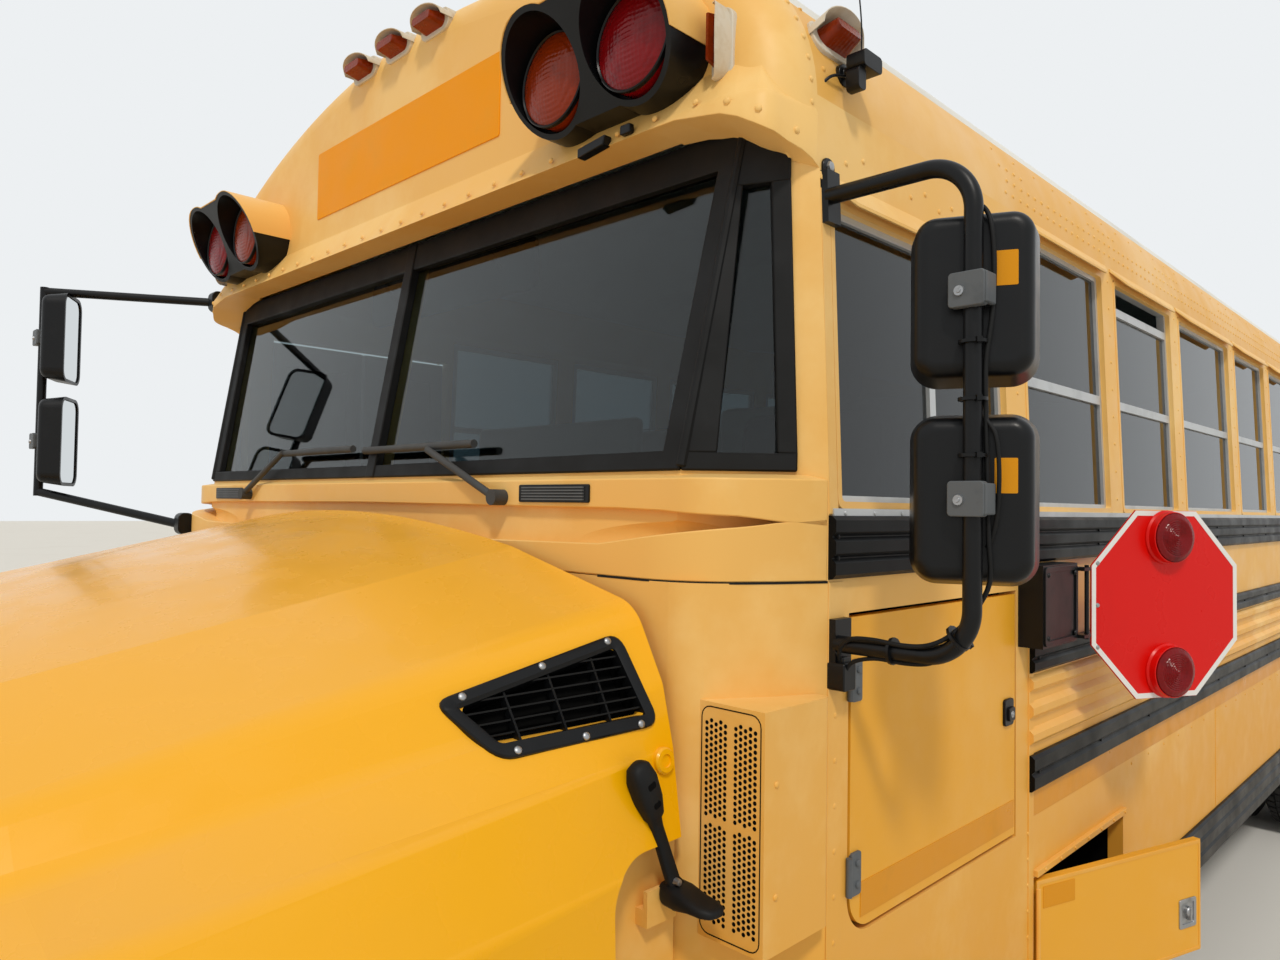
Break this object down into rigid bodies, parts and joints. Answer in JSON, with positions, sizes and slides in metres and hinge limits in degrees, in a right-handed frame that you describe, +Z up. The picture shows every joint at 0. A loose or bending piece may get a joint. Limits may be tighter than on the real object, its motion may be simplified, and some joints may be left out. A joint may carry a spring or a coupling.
{
  "type": "school bus",
  "caption": "Conventional long-nosed school bus with tilting hood, steered front wheels, twin rear wheels, hinged doors, stop sign arm and mirrors on arms.",
  "frame": {"origin": "on the road at the bottom centre of the bus", "axes": "+Z up, -Y towards the front of the bus, +X towards its left, the driver's side"},
  "size_m": [3.1315, 10.6882, 3.0398],
  "materials": {
    "yellow_paint": "gloss",
    "faded_yellow_paint": "satin",
    "roof_paint": "satin",
    "black_paint": "satin",
    "chassis_paint": "satin",
    "engine_iron": "rough",
    "axle_iron": "rough",
    "steel": "satin",
    "window_aluminium": "satin",
    "clear_glass": "gloss",
    "tinted_glass": "gloss",
    "lamp_glass": "gloss",
    "amber_lens": "gloss",
    "red_lens": "gloss",
    "tyre_rubber": "matt",
    "wheel_paint": "satin",
    "black_plastic": "matt",
    "grey_plastic": "matt",
    "seat_vinyl": "satin",
    "driver_fabric": "matt",
    "sign_face": "satin",
    "floor_rubber": "matt",
    "latch_rubber": "matt",
    "radiator_core": "matt"
  },
  "bodies": {
    "chassis": {"frame_rails": "chassis_paint", "cross_members": "chassis_paint", "tow_eyes": "chassis_paint", "engine_block": "engine_iron", "radiator": "radiator_core", "front_axle": "axle_iron", "rear_axle": "axle_iron", "driveshaft": "steel", "fuel_tank": "black_paint", "exhaust_pipe": "steel", "floor": "floor_rubber", "floor_sills": "chassis_paint", "entrance_steps": "floor_rubber", "left_side": "faded_yellow_paint", "right_side": "faded_yellow_paint", "roof": "roof_paint", "rear_wall": "faded_yellow_paint", "front_cap": "faded_yellow_paint", "front_frame": "faded_yellow_paint", "windshield": "clear_glass", "cowl": "faded_yellow_paint", "splash_panels": "faded_yellow_paint", "perforated_box": "faded_yellow_paint", "window_frames": "window_aluminium", "window_glass": "tinted_glass", "rub_rails": "black_paint", "front_bumper": "black_paint", "rear_bumper": "black_paint", "lamp_hoods": "black_plastic", "amber_lenses": "amber_lens", "red_lenses": "red_lens", "driver_mirrors": "black_plastic", "passenger_mirrors": "black_plastic", "benches": "seat_vinyl", "driver_seat": "driver_fabric", "dashboard": "grey_plastic", "battery_tray": "black_paint", "stop_arm_box": "black_plastic"},
    "hood": {"hood": "yellow_paint", "hood_grilles": "black_plastic", "hood_latches": "latch_rubber", "headlamps": "lamp_glass"},
    "knuckle_left": {"knuckle_left": "axle_iron"},
    "knuckle_right": {"knuckle_right": "axle_iron"},
    "wheel_front_left": {"wheel_front_left": "wheel_paint", "tyre_front_left": "tyre_rubber"},
    "wheel_front_right": {"wheel_front_right": "wheel_paint", "tyre_front_right": "tyre_rubber"},
    "wheels_rear_left": {"wheels_rear_left": "wheel_paint", "tyres_rear_left": "tyre_rubber"},
    "wheels_rear_right": {"wheels_rear_right": "wheel_paint", "tyres_rear_right": "tyre_rubber"},
    "wiper_left": {"wiper_left": "black_plastic"},
    "wiper_right": {"wiper_right": "black_plastic"},
    "entrance_leaf_front": {"entrance_leaf_front": "black_paint"},
    "entrance_leaf_rear": {"entrance_leaf_rear": "black_paint"},
    "rear_door": {"rear_door": "faded_yellow_paint"},
    "electrical_door": {"electrical_door": "faded_yellow_paint"},
    "battery_door": {"battery_door": "faded_yellow_paint"},
    "stop_sign": {"stop_sign": "sign_face"}
  },
  "joints": [
    {"name": "steer_left", "type": "hinge", "parent": "chassis", "child": "knuckle_left", "pos_m": [0.85, -4.345, 0.505], "axis": [0, 0, 1], "range_deg": [-35, 35]},
    {"name": "steer_right", "type": "hinge", "parent": "chassis", "child": "knuckle_right", "pos_m": [-0.85, -4.345, 0.505], "axis": [0, 0, 1], "range_deg": [-35, 35]},
    {"name": "spin_front_left", "type": "hinge", "parent": "knuckle_left", "child": "wheel_front_left", "pos_m": [1.01, -4.345, 0.505], "axis": [1, 0, 0], "continuous": true},
    {"name": "spin_front_right", "type": "hinge", "parent": "knuckle_right", "child": "wheel_front_right", "pos_m": [-1.01, -4.345, 0.505], "axis": [1, 0, 0], "continuous": true},
    {"name": "spin_rear_left", "type": "hinge", "parent": "chassis", "child": "wheels_rear_left", "pos_m": [0.9, 1.955, 0.505], "axis": [1, 0, 0], "continuous": true},
    {"name": "spin_rear_right", "type": "hinge", "parent": "chassis", "child": "wheels_rear_right", "pos_m": [-0.9, 1.955, 0.505], "axis": [1, 0, 0], "continuous": true},
    {"name": "hood_tilt", "type": "hinge", "parent": "chassis", "child": "hood", "pos_m": [0, -5.22, 0.83], "axis": [1, 0, 0], "range_deg": [0, 75]},
    {"name": "wipe_left", "type": "hinge", "parent": "chassis", "child": "wiper_left", "pos_m": [0.57, -3.55, 1.834], "axis": [0, 0.9837, -0.1796], "range_deg": [0, 70]},
    {"name": "wipe_right", "type": "hinge", "parent": "chassis", "child": "wiper_right", "pos_m": [-0.684, -3.55, 1.84], "axis": [0, -0.9837, 0.1796], "range_deg": [0, 70]},
    {"name": "entrance_front", "type": "hinge", "parent": "chassis", "child": "entrance_leaf_front", "pos_m": [-1.231, -3.29, 1.4], "axis": [0, 0, 1], "range_deg": [0, 88]},
    {"name": "entrance_rear", "type": "hinge", "parent": "chassis", "child": "entrance_leaf_rear", "pos_m": [-1.231, -2.56, 1.4], "axis": [0, 0, -1], "range_deg": [0, 88]},
    {"name": "rear_door_swing", "type": "hinge", "parent": "chassis", "child": "rear_door", "pos_m": [-0.478, 5.207, 1.78], "axis": [0, 0, 1], "range_deg": [0, 110]},
    {"name": "electrical_door_swing", "type": "hinge", "parent": "chassis", "child": "electrical_door", "pos_m": [1.231, -3.31, 1.37], "axis": [0, 0, -1], "range_deg": [0, 90]},
    {"name": "battery_door_swing", "type": "hinge", "parent": "chassis", "child": "battery_door", "pos_m": [1.231, -2.515, 0.83], "axis": [0, 0, -1], "range_deg": [-18, 72]},
    {"name": "stop_sign_swing", "type": "hinge", "parent": "chassis", "child": "stop_sign", "pos_m": [1.285, -2.365, 1.6], "axis": [0, 0, -1], "range_deg": [-28, 62]}
  ],
  "couplings": [
    {"joint": "steer_right", "follows": "steer_left", "ratio": 1},
    {"joint": "wipe_right", "follows": "wipe_left", "ratio": 1},
    {"joint": "entrance_rear", "follows": "entrance_front", "ratio": 1}
  ]
}
